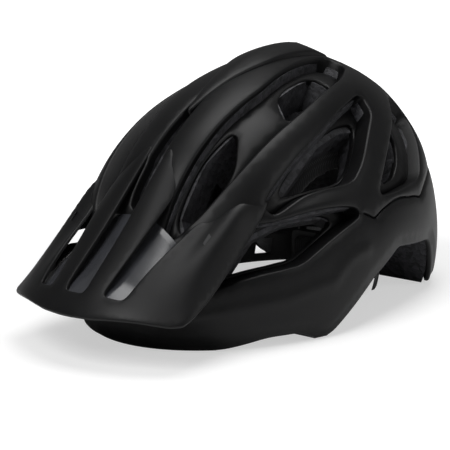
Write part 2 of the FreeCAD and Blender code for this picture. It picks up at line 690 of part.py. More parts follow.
def make_knob(parts, seat):
    """Scalloped knob with its hub, the click ring under it, and its screw."""
    start = seat + GEAR_CLEARANCE
    knob = rear_cylinder(KNOB_RADIUS, start, start + KNOB_THICKNESS)
    knob = knob.makeFillet(1.2, [e for e in knob.Edges if e.Length > 2 * KNOB_RADIUS])
    hub = rear_cylinder(HUB_RADIUS, gear_plane() + GEAR_WIDTH, start + 1.0)
    knob = knob.fuse(hub)
    room = rear_cylinder(CLICK_RADIUS + CLICK_WALL + GEAR_CLEARANCE, start, start + 2.4)
    room = room.cut(rear_cylinder(CLICK_RADIUS - CLICK_WALL, start, start + 2.4))
    knob = knob.cut(room)
    for k in range(KNOB_SCALLOPS):
        a = 2 * math.pi * k / KNOB_SCALLOPS
        reach = KNOB_RADIUS + 1.2
        groove = Part.makeCylinder(2.0, KNOB_THICKNESS + 1,
                                   vec(reach * math.sin(a), start - 0.5,
                                       DIAL_Z + reach * math.cos(a)), vec(0, 1, 0))
        knob = knob.cut(groove)
    screw_head = rear_cylinder(SCREW_RADIUS * 2, start + KNOB_THICKNESS - 2.0, BIG)
    knob = knob.cut([rear_cylinder(SCREW_RADIUS, 0, BIG), screw_head])
    parts["dial_knob"] = largest(knob)
    screw = rear_cylinder(SCREW_RADIUS, HOUSING_FRONT + 0.4, start + KNOB_THICKNESS - 2.0)
    head = rear_cylinder(SCREW_RADIUS * 1.8, start + KNOB_THICKNESS - 2.0,
                         start + KNOB_THICKNESS - 0.4)
    parts["dial_screw"] = screw.fuse(head).removeSplitter()
    ring = rear_cylinder(CLICK_RADIUS + CLICK_WALL, seat, seat + 2.0)
    ring = ring.cut(rear_cylinder(CLICK_RADIUS, seat, seat + 2.0))
    for k in range(CLICK_NOTCHES):
        a = 2 * math.pi * k / CLICK_NOTCHES
        notch = Part.makeCylinder(0.5, 2.0, vec(CLICK_RADIUS * math.sin(a), seat,
                                                DIAL_Z + CLICK_RADIUS * math.cos(a)), vec(0, 1, 0))
        ring = ring.cut(notch)
    parts["click_ring"] = ring


def make_nape_pads(parts):
    """Two soft pads on the housing's front."""
    low, high = housing_heights()
    pads = []
    for side, _ in SIDES:
        pad = box(5.0, HOUSING_HALF_LENGTH - 3.0, HOUSING_FRONT - BUCKLE_CLEARANCE - NAPE_PAD_WALL,
                  HOUSING_FRONT - BUCKLE_CLEARANCE, low + 3.0, high - 3.0)
        pad = rounded(pad, 4.0, lambda e: along(e, vec(0, 1, 0)))
        pads.append(on_side(pad, side))
    parts["nape_pads"] = Part.Compound(pads)


def ribbon(start, end, width=WEB_WIDTH, wall=WEB_WALL):
    """Straight run of webbing on its edge between two points of its middle line."""
    line = end.sub(start)
    run = vec(line.x, line.y, line.z).normalize()
    side = vec(1, 0, 0).sub(run * run.x).normalize()
    up = side.cross(run)
    near = [start.add(side * (wall / 2)).add(up * (s * width / 2)) for s in (-1, 1)]
    far = [c.add(line) for c in near]
    sheet = face([near[0], near[1], far[1], far[0]])
    return sheet.extrude(side * -wall)


def strip_x(outer):
    """Plan of one chin strap: back along the side, round the corner, along the front."""
    r = LOOP_CORNER
    grow = WEB_WALL / 2 * outer
    x = LOOP_HALF_WIDTH + grow
    y = LOOP_FRONT - grow
    mid = math.sqrt(0.5) * (r + grow)
    corner = Part.Arc(vec(x, LOOP_FRONT + r, 0),
                      vec(LOOP_HALF_WIDTH - r + mid, LOOP_FRONT + r - mid, 0),
                      vec(LOOP_HALF_WIDTH - r, y, 0)).toShape()
    return corner, x, y


def chin_strap(end_x):
    corner_out, x_out, y_out = strip_x(1)
    corner_in, x_in, y_in = strip_x(-1)
    back = DIVIDER_FRONT - GEAR_CLEARANCE
    turn_y = LOOP_FRONT + LOOP_CORNER
    turn_x = LOOP_HALF_WIDTH - LOOP_CORNER
    edges = [Part.makeLine(vec(x_out, back, 0), vec(x_out, turn_y, 0)), corner_out,
             Part.makeLine(vec(turn_x, y_out, 0), vec(end_x, y_out, 0)),
             Part.makeLine(vec(end_x, y_out, 0), vec(end_x, y_in, 0)),
             Part.makeLine(vec(end_x, y_in, 0), vec(turn_x, y_in, 0)), corner_in,
             Part.makeLine(vec(x_in, turn_y, 0), vec(x_in, back, 0)),
             Part.makeLine(vec(x_in, back, 0), vec(x_out, back, 0))]
    plan = Part.Face(Part.Wire(Part.__sortEdges__(edges)))
    plan.translate(vec(0, 0, WEB_LOW))
    return plan.extrude(vec(0, 0, WEB_WIDTH))


def divider_x():
    """Inner and outer face of the strap divider."""
    inner = LOOP_HALF_WIDTH - DIVIDER_WALL / 2 + 1.5
    return inner, inner + DIVIDER_WALL


def make_straps(parts):
    """Webbing from the four anchors to the two dividers and on to the buckle."""
    inner, outer = divider_x()
    middle = (inner + outer) / 2
    height = WEB_LOW + WEB_WIDTH / 2
    front = DIVIDER_FRONT - GEAR_CLEARANCE
    back = DIVIDER_FRONT + DIVIDER_LENGTH + GEAR_CLEARANCE
    y, z = FRONT_ANCHOR
    wall_gap = ANCHOR_WALL + GEAR_CLEARANCE + WEB_WALL / 2 + 0.6
    front_run = ribbon(vec(cavity_x(y, z) - wall_gap, y - ANCHOR_RADIUS / 2, z),
                       vec(outer - WEB_WALL, front, height + 0.4))
    y, z = REAR_ANCHOR
    rear_run = ribbon(vec(cavity_x(y, z) - wall_gap, y + 1.0, z),
                      vec(middle + 0.8, back + 2.0, height + 3.0))
    rear_run = rear_run.cut(box(0, BIG, -BIG, back, -BIG, BIG))
    for side, name in SIDES:
        parts["front_strap_" + name] = on_side(front_run, side)
        parts["rear_strap_" + name] = on_side(largest(rear_run), side)
    parts["chin_strap_left"] = chin_strap(SOCKET_LENGTH + BUCKLE_CLEARANCE)
    parts["chin_strap_right"] = mirrored(chin_strap(TONGUE_LENGTH + BUCKLE_CLEARANCE))
    plugs = []
    for side, y, z, x in anchor_places():
        cap = Part.makeCylinder(ANCHOR_RADIUS, ANCHOR_WALL, vec(x - ANCHOR_WALL - 0.6, y, z),
                                vec(1, 0, 0))
        stem = Part.makeCylinder(ANCHOR_STEM, ANCHOR_DEPTH, vec(x - ANCHOR_WALL, y, z),
                                 vec(1, 0, 0))
        plug = cap.fuse(stem).removeSplitter().cut(box(0, BIG, -BIG, BIG, -BIG, 0))
        plugs.append(on_side(plug, side).Solids[0])
    parts["strap_anchors"] = Part.Compound(plugs)


def make_dividers(parts):
    """Strap dividers, each with a locking lever that swings inwards."""
    inner, outer = divider_x()
    low = WEB_LOW - 1.0
    high = WEB_LOW + WEB_WIDTH + 1.0
    y0 = DIVIDER_FRONT
    y1 = DIVIDER_FRONT + DIVIDER_LENGTH
    block = box(inner, outer, y0, y1, low, high)
    block = rounded(block, 1.5, lambda e: along(e, vec(1, 0, 0)))
    pin_x = inner - LEVER_WALL / 2 - GEAR_CLEARANCE
    pin_y = y1 - 2.6
    ears = box(pin_x - 1.8, inner, pin_y - 1.8, pin_y + 1.8, low + 1.0, high - 1.0)
    gap = box(pin_x - 3.0, inner, pin_y - 3.0, BIG, low + 3.0, high - 3.0)
    gap = gap.cut(box(inner - 0.001, BIG, -BIG, BIG, -BIG, BIG))
    hole = Part.makeCylinder(LEVER_PIN_RADIUS + LEVER_CLEARANCE, high - low,
                             vec(pin_x, pin_y, low), vec(0, 0, 1))
    pair = ears.cut([gap, hole])
    body = block.fuse(pair).removeSplitter()
    barrel = Part.makeCylinder(LEVER_WALL / 2, high - low - 6.0 - 2 * GEAR_CLEARANCE,
                               vec(pin_x, pin_y, low + 3.0 + GEAR_CLEARANCE), vec(0, 0, 1))
    pin = Part.makeCylinder(LEVER_PIN_RADIUS, high - low - 3.0, vec(pin_x, pin_y, low + 1.5),
                            vec(0, 0, 1))
    arm = box(pin_x - LEVER_WALL / 2, pin_x + LEVER_WALL / 2, y0 + 1.5, pin_y,
              low + 3.0 + GEAR_CLEARANCE, high - 3.0 - GEAR_CLEARANCE)
    lever = arm.fuse([barrel, pin]).removeSplitter()
    for side, name in SIDES:
        parts["strap_divider_" + name] = on_side(body, side)
        parts["divider_lever_" + name] = on_side(lever, side)


def make_buckle(parts):
    """Side-release buckle on its edge: socket on the left strap, tongue on the right."""
    y = LOOP_FRONT
    w = BUCKLE_WALL / 2
    low = WEB_LOW + WEB_WIDTH / 2 - BUCKLE_HEIGHT / 2
    high = low + BUCKLE_HEIGHT
    c = BUCKLE_CLEARANCE
    socket = box(0, SOCKET_LENGTH, y - w, y + w, low, high)
    socket = rounded(socket, 2.0, lambda e: along(e, vec(1, 0, 0)))
    room = box(-1, PRONG_LENGTH + 2 * c, y - PRONG_WALL / 2 - c, y + PRONG_WALL / 2 + c, low + 2.0,
               high - 2.0)
    windows = [box(4.0, PRONG_LENGTH - 1.0, y - w - 1, y + w + 1, a, a + 4.5)
               for a in (low - 1.0, high - 3.5)]
    parts["buckle_socket"] = socket.cut([room] + windows)
    tongue = box(-TONGUE_LENGTH, -c, y - w, y + w, low, high)
    tongue = rounded(tongue, 2.0, lambda e: along(e, vec(1, 0, 0)))
    prongs = [box(-1, PRONG_LENGTH, y - PRONG_WALL / 2, y + PRONG_WALL / 2, a, a + PRONG_WIDTH)
              for a in (low + 2.0 + c, high - 2.0 - c - PRONG_WIDTH)]
    middle = box(-1, PRONG_LENGTH - 2.0, y - PRONG_WALL / 2, y + PRONG_WALL / 2,
                 low + BUCKLE_HEIGHT / 2 - 1.5, low + BUCKLE_HEIGHT / 2 + 1.5)
    slot = box(-TONGUE_LENGTH + 3.0, -TONGUE_LENGTH + 7.0, y - w - 1, y + w + 1, low + 1.6,
               high - 1.6)
    parts["buckle_tongue"] = tongue.cut(slot).fuse(prongs + [middle]).removeSplitter()
    inside = WEB_WALL / 2 + GEAR_CLEARANCE
    reach = inside + KEEPER_WALL
    x = -LOOP_HALF_WIDTH
    start = LOOP_FRONT + LOOP_CORNER + KEEPER_WIDTH
    keeper = box(x - reach, x + reach, start, start + KEEPER_WIDTH, low + 0.4, high - 0.2)
    room = box(x - inside, x + inside, start - 1, start + KEEPER_WIDTH + 1,
               WEB_LOW - GEAR_CLEARANCE, WEB_LOW + WEB_WIDTH + GEAR_CLEARANCE)
    parts["strap_keeper"] = keeper.cut(room)
    x = SOCKET_LENGTH + 3.0
    soft = box(x, LOOP_HALF_WIDTH - LOOP_CORNER, y - reach - 1.0, y + reach + 1.0, low, high)
    soft = rounded(soft, 1.5, lambda e: along(e, vec(1, 0, 0)))
    parts["chin_pad"] = soft.cut(box(x - 1, BIG, y - inside, y + inside,
                                     WEB_LOW - GEAR_CLEARANCE,
                                     WEB_LOW + WEB_WIDTH + GEAR_CLEARANCE))


def main():
    parts = {}
    make_shells_and_liner(parts)
    make_tail(parts)
    make_peak(parts)
    make_grommets(parts)
    make_padding(parts)
    make_belts(parts)
    make_cradle(parts)
    make_dial(parts)
    make_nape_pads(parts)
    make_straps(parts)
    make_dividers(parts)
    make_buckle(parts)
    os.makedirs("parts", exist_ok=True)
    for name, shape in parts.items():
        shape.exportStep(os.path.join("parts", name + ".step"))
        b = shape.BoundBox
        print("%-20s %2d solids  valid %s  %9.1f mm3  x %7.1f %7.1f  y %7.1f %7.1f  z %6.1f %6.1f" % (
            name, len(shape.Solids), shape.isValid(), shape.Volume, b.XMin, b.XMax, b.YMin, b.YMax,
            b.ZMin, b.ZMax))


main()
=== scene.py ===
import math

import bmesh
import bpy
import numpy as np
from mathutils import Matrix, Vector
from mathutils.geometry import delaunay_2d_cdt
from mathutils.kdtree import KDTree


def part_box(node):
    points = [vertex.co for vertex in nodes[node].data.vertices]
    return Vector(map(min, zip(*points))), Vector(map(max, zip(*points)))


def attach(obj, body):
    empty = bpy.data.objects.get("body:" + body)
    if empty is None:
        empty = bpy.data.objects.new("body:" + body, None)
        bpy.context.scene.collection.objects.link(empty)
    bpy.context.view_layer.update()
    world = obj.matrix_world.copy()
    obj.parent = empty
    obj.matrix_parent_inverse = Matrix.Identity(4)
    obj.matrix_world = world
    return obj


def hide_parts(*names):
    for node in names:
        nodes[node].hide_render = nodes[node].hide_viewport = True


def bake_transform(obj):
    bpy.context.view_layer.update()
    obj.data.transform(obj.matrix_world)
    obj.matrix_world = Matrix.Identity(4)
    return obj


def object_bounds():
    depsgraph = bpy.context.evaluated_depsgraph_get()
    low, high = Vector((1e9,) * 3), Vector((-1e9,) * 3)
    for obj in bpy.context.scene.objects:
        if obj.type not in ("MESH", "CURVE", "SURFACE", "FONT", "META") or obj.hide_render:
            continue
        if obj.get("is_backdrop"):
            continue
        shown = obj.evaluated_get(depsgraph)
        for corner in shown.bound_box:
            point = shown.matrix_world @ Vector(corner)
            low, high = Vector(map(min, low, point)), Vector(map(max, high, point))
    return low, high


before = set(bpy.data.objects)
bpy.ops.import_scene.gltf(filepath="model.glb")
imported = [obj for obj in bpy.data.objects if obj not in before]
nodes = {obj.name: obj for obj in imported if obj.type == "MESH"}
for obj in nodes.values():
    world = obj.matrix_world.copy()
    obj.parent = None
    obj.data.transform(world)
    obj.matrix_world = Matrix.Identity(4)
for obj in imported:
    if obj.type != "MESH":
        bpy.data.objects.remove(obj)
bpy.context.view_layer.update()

# --------------------------------------------------------------- shared tools
# Thin curved pieces are plates: outlines on a surface, an eased edge round each
# and a field of triangles between them. Materials are small node trees.

HOLLOW_CUT = 0.16
ROW_STEP = 0.87
SNAP = 1e-7
MERGE = 2e-5
SIDES = ((1, "left"), (-1, "right"))


def eased(t):
    """0 to 1 with level ends."""
    return t * t * (3 - 2 * t)


def pillow(distance, height, run):
    """Rise from an edge to a height, most of it within a run."""
    return height * (1 - np.exp(-distance / run))


def area(loop):
    """Signed area, above 0 where the loop runs anticlockwise."""
    x, y = loop.T
    return 0.5 * np.sum(x * np.roll(y, -1) - y * np.roll(x, -1))


def softened(corners, cut=0.36, steps=7):
    """Closed outline whose corners are eased into curves."""
    found = []
    count = len(corners)
    way = 1 if area(corners) > 0 else -1
    for i in range(count):
        before, here, after = corners[i - 1], corners[i], corners[(i + 1) % count]
        bend = way * np.cross(here - before, after - here)
        share = cut if bend > 0 else min(cut, HOLLOW_CUT)
        a = here + (before - here) * share
        b = here + (after - here) * share
        for t in np.linspace(0, 1, steps):
            found.append(a * (1 - t) ** 2 + here * 2 * t * (1 - t) + b * t * t)
    return np.array(found)


def resampled(loop, place, spacing):
    """Closed loop with points at an even spacing in space."""
    points = place(loop)
    closed = np.vstack([points, points[:1]])
    run = np.concatenate([[0], np.cumsum(np.linalg.norm(np.diff(closed, axis=0), axis=1))])
    count = max(12, int(run[-1] / spacing))
    marks = np.linspace(0, run[-1], count, endpoint=False)
    flat = np.vstack([loop, loop[:1]])
    return np.column_stack([np.interp(marks, run, flat[:, k]) for k in (0, 1)])


def odd_inside(points, loops):
    """True where an odd number of loops is round a point."""
    inside = np.zeros(len(points), bool)
    for loop in loops:
        x0, y0 = loop.T
        x1, y1 = np.roll(loop, -1, 0).T
        for i in range(len(loop)):
            cross = (y0[i] > points[:, 1]) != (y1[i] > points[:, 1])
            if y1[i] != y0[i]:
                at = (x1[i] - x0[i]) * (points[:, 1] - y0[i]) / (y1[i] - y0[i]) + x0[i]
                inside ^= cross & (points[:, 0] < at)
    return inside


def tree_of(points):
    """Search tree of points."""
    tree = KDTree(len(points))
    for i, p in enumerate(points):
        tree.insert(Vector(p), i)
    tree.balance()
    return tree


def nearest(tree, points):
    """Distance of each point to the nearest one in a tree."""
    return np.array([tree.find(Vector(p))[2] for p in points])


def plate(name, place, plan_of, loops, walls, edge, height, grid, spacing=0.0022, under=None):
    """Curved plate with rounded edges. loops[0] is its outline and the rest are openings,
    walls are how deep each loop's edge goes, and height gives the lift of a point from
    its plan place, its place in space and its distance to the nearest edge."""
    mesh = bmesh.new()
    fine = []
    for i, loop in enumerate(loops):
        loop = resampled(loop, place, spacing)
        fine.append(loop if (area(loop) > 0) == (i == 0) else loop[::-1])
    rims = tree_of(np.vstack([place(f) for f in fine]))

    def lifted(plan, drop=0.0, known=None):
        base = place(plan)
        distance = nearest(rims, base) if known is None else np.full(len(plan), known)
        return place(plan, height(plan, base, distance) - drop)

    inner = []
    profile = [(0.0, edge), (edge * 0.3, edge * 0.3), (edge, 0.0)] if edge else [(0.0, 0.0)]
    for loop, wall in zip(fine, walls):
        points = place(loop)
        along = np.roll(points, -1, 0) - np.roll(points, 1, 0)
        out = place(loop, 0.001) - points
        side = np.cross(out, along)
        side /= np.linalg.norm(side, axis=1)[:, None]
        rings = []
        for inset, drop in [(0.0, wall)] + profile:
            ring = plan_of(points + side * inset)
            if inset:
                ring = (np.roll(ring, 1, 0) + ring * 2 + np.roll(ring, -1, 0)) / 4
            rings.append((ring, drop))
        inner.append(rings[-1][0])
        rows = [[mesh.verts.new(p) for p in lifted(ring, drop, 0.0)] for ring, drop in rings[:-1]]
        rows.append([mesh.verts.new(p) for p in lifted(rings[-1][0])])
        for low, high in zip(rows, rows[1:]):
            for k in range(len(low)):
                mesh.faces.new([low[k - 1], low[k], high[k], high[k - 1]])
    lo = inner[0].min(0)
    hi = inner[0].max(0)
    gx, gy = np.meshgrid(np.arange(lo[0], hi[0], grid), np.arange(lo[1], hi[1], grid * ROW_STEP))
    gx[1::2] += grid / 2
    spots = np.column_stack([gx.ravel(), gy.ravel()])
    spots = spots[odd_inside(spots, inner)]
    spots = spots[nearest(tree_of(np.vstack([place(r) for r in inner])), place(spots)) > spacing]
    edges = []
    start = 0
    for ring in inner:
        edges += [(start + k, start + (k + 1) % len(ring)) for k in range(len(ring))]
        start += len(ring)
    flat = np.vstack(inner + [spots])
    made = delaunay_2d_cdt([Vector(p) for p in flat], edges, [], 0, SNAP)
    verts = np.array([tuple(v) for v in made[0]])
    faces = np.array([f for f in made[2] if len(f) == 3])
    faces = faces[odd_inside(verts[faces].mean(1), inner)]
    sheets = [(0.0, 1)] if under is None else [(0.0, 1), (under, -1)]
    for drop, order in sheets:
        row = [mesh.verts.new(p) for p in lifted(verts, drop)]
        for f in faces:
            mesh.faces.new([row[k] for k in f[::order]])
    bmesh.ops.remove_doubles(mesh, verts=mesh.verts, dist=MERGE)
    loose = [v for v in mesh.verts if not v.link_faces]
    bmesh.ops.delete(mesh, geom=loose, context="VERTS")
    return piece(name, mesh)


def piece(name, mesh, smooth=True):
    """Object of a finished bmesh, at the origin."""
    data = bpy.data.meshes.new(name)
    mesh.to_mesh(data)
    mesh.free()
    made = bpy.data.objects.new(name, data)
    bpy.context.scene.collection.objects.link(made)
    data.polygons.foreach_set("use_smooth", [smooth] * len(data.polygons))
    return made


def linear(code):
    """Linear colour of an sRGB hex value."""
    parts = [int(code[i:i + 2], 16) / 255 for i in (1, 3, 5)]
    return [p / 12.92 if p <= 0.04045 else ((p + 0.055) / 1.055) ** 2.4 for p in parts] + [1.0]


def add_node(tree, kind, sockets=None, **settings):
    """Node with these settings. A socket takes a value or another node's output."""
    node = tree.nodes.new("ShaderNode" + kind)
    for key, value in settings.items():
        setattr(node, key, value)
    for key, value in (sockets or {}).items():
        if isinstance(value, bpy.types.NodeSocket):
            tree.links.new(value, node.inputs[key])
        else:
            node.inputs[key].default_value = value
    return node


def new_material(name, **sockets):
    """Material, its node tree and its shader with these socket values."""
    made = bpy.data.materials.new(name)
    made.use_nodes = True
    shader = made.node_tree.nodes["Principled BSDF"]
    for key, value in sockets.items():
        shader.inputs[key.replace("_", " ")].default_value = value
    return made, made.node_tree, shader


def colour_by(tree, shader, factor, dark, light, start=0.0, end=1.0):
    """Colours a shader from dark to light by a factor."""
    ramp = add_node(tree, "ValToRGB", {"Fac": factor})
    stops = ramp.color_ramp.elements
    stops[0].position = start
    stops[1].position = end
    stops[0].color = linear(dark)
    stops[1].color = linear(light)
    tree.links.new(ramp.outputs["Color"], shader.inputs["Base Color"])


def roughen_by(tree, shader, factor, least, most):
    """Varies a shader's roughness by a factor."""
    sheen = add_node(tree, "MapRange", {"Value": factor, "To Min": least, "To Max": most})
    tree.links.new(sheen.outputs["Result"], shader.inputs["Roughness"])


def bump_by(tree, shader, height, strength, distance):
    """Bumps a shader's surface by a height."""
    bump = add_node(tree, "Bump", {"Height": height, "Strength": strength,
                                   "Distance": distance})
    tree.links.new(bump.outputs["Normal"], shader.inputs["Normal"])

# ---------------------------------------------------------------- crown shell
# Vacuum-formed polycarbonate skin over the foam: one smooth, leaning dome with
# long air channels, side windows and a rim that is turned in at its edge.
# It is bonded to the foam liner in the mould.

DOME_HALF = np.array([0.1007, 0.1523, 0.1335])
DOME_CENTRE = np.array([0.0, 0.0265, 0.0321])
DOME_LEAN = math.radians(15.1)
DOME_FULLNESS = 2.15
EDGE_ROUND = 0.0014
CHANNEL_WALL = 0.014
GROOVE_WALL = 0.006
SEAM_WALL = 0.0015
RIM_WALL = 0.003
PILLOW = 0.0011
PILLOW_RUN = 0.010
SHELL_PROUD = 0.0018
STEP_RUN = 0.004
STEP_LOWEST = 0.05
CREASE_RISE = 0.0013
CREASE_REACH = 0.008
LIP_WIDTH = 0.0065
LIP_STEP = 0.0011
LIP_EASE = 0.002
SPINE_RISE = 0.0025
SPINE_SHARE = 0.15
SPINE_START, SPINE_CLIMB = 70, 30
SPINE_END, SPINE_FALL = 135, 12
SEAM_HALF = 0.00035

turn = np.array([[1, 0, 0],
                 [0, math.cos(DOME_LEAN), -math.sin(DOME_LEAN)],
                 [0, math.sin(DOME_LEAN), math.cos(DOME_LEAN)]])


def dome_directions(plan):
    """Unit directions of plan points, by a projection from under the dome."""
    square = (plan ** 2).sum(1)[:, None]
    return np.hstack([2 * plan, 1 - square]) / (1 + square)


def dome_points(plan, lift=0.0):
    """Places on the dome, raised along its normal."""
    d = dome_directions(plan)
    grow = (np.abs(d) ** DOME_FULLNESS).sum(1) ** (-1 / DOME_FULLNESS)
    slope = np.sign(d) * np.abs(d) ** (DOME_FULLNESS - 1) / DOME_HALF
    slope /= np.linalg.norm(slope, axis=1)[:, None]
    local = d * grow[:, None] * DOME_HALF + slope * np.reshape(lift, (-1, 1))
    return local @ turn.T + DOME_CENTRE


def dome_plan(points):
    """Plan places of points near the dome."""
    local = (points - DOME_CENTRE) @ turn / DOME_HALF
    local /= np.linalg.norm(local, axis=1)[:, None]
    return local[:, :2] / (1 + local[:, 2:])


def on_dome(outline, side=1):
    """Plan places of (share of the half width, degrees over the crown)."""
    s, a = np.array(outline, float).T
    a = np.radians(a)
    k = np.sqrt(1 - s * s)
    d = np.column_stack([side * s, -k * np.cos(a), k * np.sin(a)])
    return d[:, :2] / (1 + d[:, 2:])


def over_crown(plan):
    """Side share and degrees over the crown of plan places: the reverse of on_dome."""
    d = dome_directions(plan)
    return d[:, 0], np.degrees(np.arctan2(d[:, 2], -d[:, 1]))


def formed_polycarbonate():
    """Satin polycarbonate sheet, formed over the foam: a soft, slightly wavy sheen
    with a fine leather-like haze, and a little paler where hands have rubbed it."""
    made, tree, shader = new_material("formed_polycarbonate", IOR=1.58, Roughness=0.42,
                                      Specular_IOR_Level=0.18)
    at = add_node(tree, "TexCoord").outputs["Object"]
    waves = add_node(tree, "TexNoise", {"Vector": at, "Scale": 28.0, "Detail": 2.0})
    haze = add_node(tree, "TexNoise", {"Vector": at, "Scale": 1400.0, "Detail": 2.0})
    colour_by(tree, shader, waves.outputs["Fac"], "#080809", "#0d0d0e", 0.35, 0.7)
    roughen_by(tree, shader, waves.outputs["Fac"], 0.36, 0.48)
    bump_by(tree, shader, haze.outputs["Fac"], 0.12, 0.0001)
    return made


polycarbonate = formed_polycarbonate()

CHANNEL = [(0.23, 34), (0.25, 56), (0.265, 70), (0.285, 86), (0.21, 108), (0.14, 122),
           (0.30, 124), (0.44, 114), (0.49, 106), (0.55, 86), (0.51, 58), (0.42, 42), (0.31, 34)]
FRONT_HOLE = [(0.27, 40), (0.27, 58), (0.325, 73), (0.485, 58), (0.425, 43), (0.33, 35)]
TOP_HOLE = [(0.335, 90), (0.27, 110), (0.43, 113), (0.505, 100), (0.53, 83)]
UPPER_RECESS = [(0.65, 50), (0.67, 68), (0.665, 88), (0.61, 106), (0.56, 116), (0.67, 116),
                (0.735, 110), (0.835, 97), (0.865, 84), (0.77, 61), (0.71, 48)]
UPPER_HOLE = [(0.70, 57), (0.68, 88), (0.67, 104), (0.68, 112), (0.765, 107), (0.84, 96),
              (0.855, 84), (0.765, 63)]
LOWER_RECESS = [(0.29, 13), (0.48, 24), (0.62, 42), (0.71, 46), (0.76, 50), (0.91, 78),
                (0.935, 78), (0.885, 43), (0.845, 32.5), (0.78, 29), (0.53, 21)]
LOWER_HOLE = [(0.56, 23.5), (0.775, 30), (0.84, 33.5), (0.88, 44), (0.915, 66), (0.87, 62),
              (0.75, 48.5), (0.64, 38)]
REAR_RECESS = [(0.44, 138), (0.51, 149), (0.70, 151), (0.85, 151.5), (0.92, 125), (0.925, 100),
               (0.84, 116), (0.69, 129)]
REAR_HOLE = [(0.655, 132), (0.73, 138), (0.82, 138), (0.88, 133), (0.905, 119), (0.85, 118),
             (0.71, 129.5)]
EXHAUST_HOLE = [(0.09, 130), (0.09, 150), (0.32, 151), (0.34, 136)]
GROOVE = [(-0.055, 40), (0.055, 40), (0.04, 62), (0.02, 80), (0.0, 96), (-0.02, 80), (-0.04, 62)]
CREASE = [(0.274, 10.8), (0.526, 13.3), (0.69, 15.2), (0.816, 16.6), (0.93, 22), (0.975, 60)]
SEAM = [(0.93, 79), (0.955, 90), (0.945, 110), (0.92, 140), (0.89, 155.5), (0.70, 165),
        (0.40, 169), (0.0, 170)]

RIM_STATIONS = [-0.3, -0.098, -0.074, -0.052, -0.038, -0.028, 0.014, 0.045, 0.100, 0.126, 0.3]
RIM_HEIGHTS = [0.0, 0.0, 0.006, 0.006, 0.0, 0.0, 0.032, 0.047, 0.040, 0.0, 0.0]
RIM_EASE = 0.005
RIM_LIFT = 0.0006
RIM_SEARCH = (0.3, 1.7)
NAPE_NOTCH = 0.036
NAPE_HALF = 0.034
NAPE_EASE = 0.008
NAPE_START = 0.05


def rim_height(p):
    """Height of the rim under a point, with its corners eased."""
    z = np.mean([np.interp(p[:, 1] + shift, RIM_STATIONS, RIM_HEIGHTS)
                 for shift in np.linspace(-RIM_EASE, RIM_EASE, 9)], axis=0)
    notch = np.clip((NAPE_HALF + NAPE_EASE / 2 - np.abs(p[:, 0])) / NAPE_EASE, 0, 1)
    notch *= p[:, 1] > NAPE_START
    return np.maximum(z, NAPE_NOTCH * eased(notch)) + RIM_LIFT


def rim_loop():
    """Plan places of the shell's rim, all round."""
    angle = np.linspace(0, 2 * math.pi, 900, endpoint=False)
    ray = np.column_stack([np.cos(angle), np.sin(angle)])
    low = np.full(len(angle), RIM_SEARCH[0])
    high = np.full(len(angle), RIM_SEARCH[1])
    for _ in range(30):
        middle = (low + high) / 2
        p = dome_points(ray * middle[:, None])
        above = p[:, 2] > rim_height(p)
        low = np.where(above, middle, low)
        high = np.where(above, high, middle)
    return ray * low[:, None]


def strip(line, half):
    """Narrow closed outline along a line of plan places."""
    p = dome_points(line)
    along = np.gradient(p, axis=0)
    side = np.cross(dome_points(line, 0.001) - p, along)
    side *= half / np.linalg.norm(side, axis=1)[:, None]
    return dome_plan(np.vstack([p + side, (p - side)[::-1]]))


def mirrored(line):
    """The same plan places on the other side."""
    return line * np.array([-1, 1])


def line_of(outline, count=60):
    """Even plan places along an open outline."""
    run = np.linspace(0, len(outline) - 1, count)
    s, a = np.array(outline, float).T
    bent = [(np.interp(t, range(len(s)), s), np.interp(t, range(len(a)), a)) for t in run]
    return on_dome(bent)


def falloff(points, line, reach):
    """1 on a line and its mirror image, easing to 0 at a distance."""
    both = np.vstack([dome_points(line), dome_points(mirrored(line))])
    return np.clip(1 - nearest(tree_of(both), points) / reach, 0, 1)


PEAK_SEAM_X = [0.0, 0.0085, 0.014, 0.0245, 0.0455, 0.053, 0.067, 0.073]
PEAK_SEAM_Y = [-0.085, -0.085, -0.089, -0.100, -0.1015, -0.093, -0.066, -0.062]


def seam_station(x):
    """Where the peak ends and the crown shell shows, in plan."""
    return np.interp(np.abs(x), PEAK_SEAM_X, PEAK_SEAM_Y)


rim = rim_loop()
rim_tree = tree_of(dome_points(rim))
crease_line = line_of(CREASE)
seam_half = line_of(SEAM, 90)
seam_line = np.vstack([seam_half, mirrored(seam_half)[::-1][1:]])


def shell_height(plan, base, distance):
    """Lift of the crown shell: pillowed ribs, a step under the peak, a raised spine,
    a crease and a lip."""
    rise = pillow(distance, PILLOW, PILLOW_RUN)
    ahead = (seam_station(base[:, 0]) - STEP_RUN - base[:, 1]) / STEP_RUN
    rise += SHELL_PROUD * (1 - np.clip(ahead, 0, 1) * (base[:, 2] > STEP_LOWEST))
    rise += CREASE_RISE * falloff(base, crease_line, CREASE_REACH) ** 2
    lip = nearest(rim_tree, base)
    rise -= LIP_STEP * np.clip((LIP_WIDTH + LIP_EASE / 2 - lip) / LIP_EASE, 0, 1)
    across, degrees = over_crown(plan)
    spine = np.exp(-(across / SPINE_SHARE) ** 2)
    spine *= np.clip((degrees - SPINE_START) / SPINE_CLIMB, 0, 1)
    rise += SPINE_RISE * spine * np.clip((SPINE_END - degrees) / SPINE_FALL, 0, 1)
    return rise


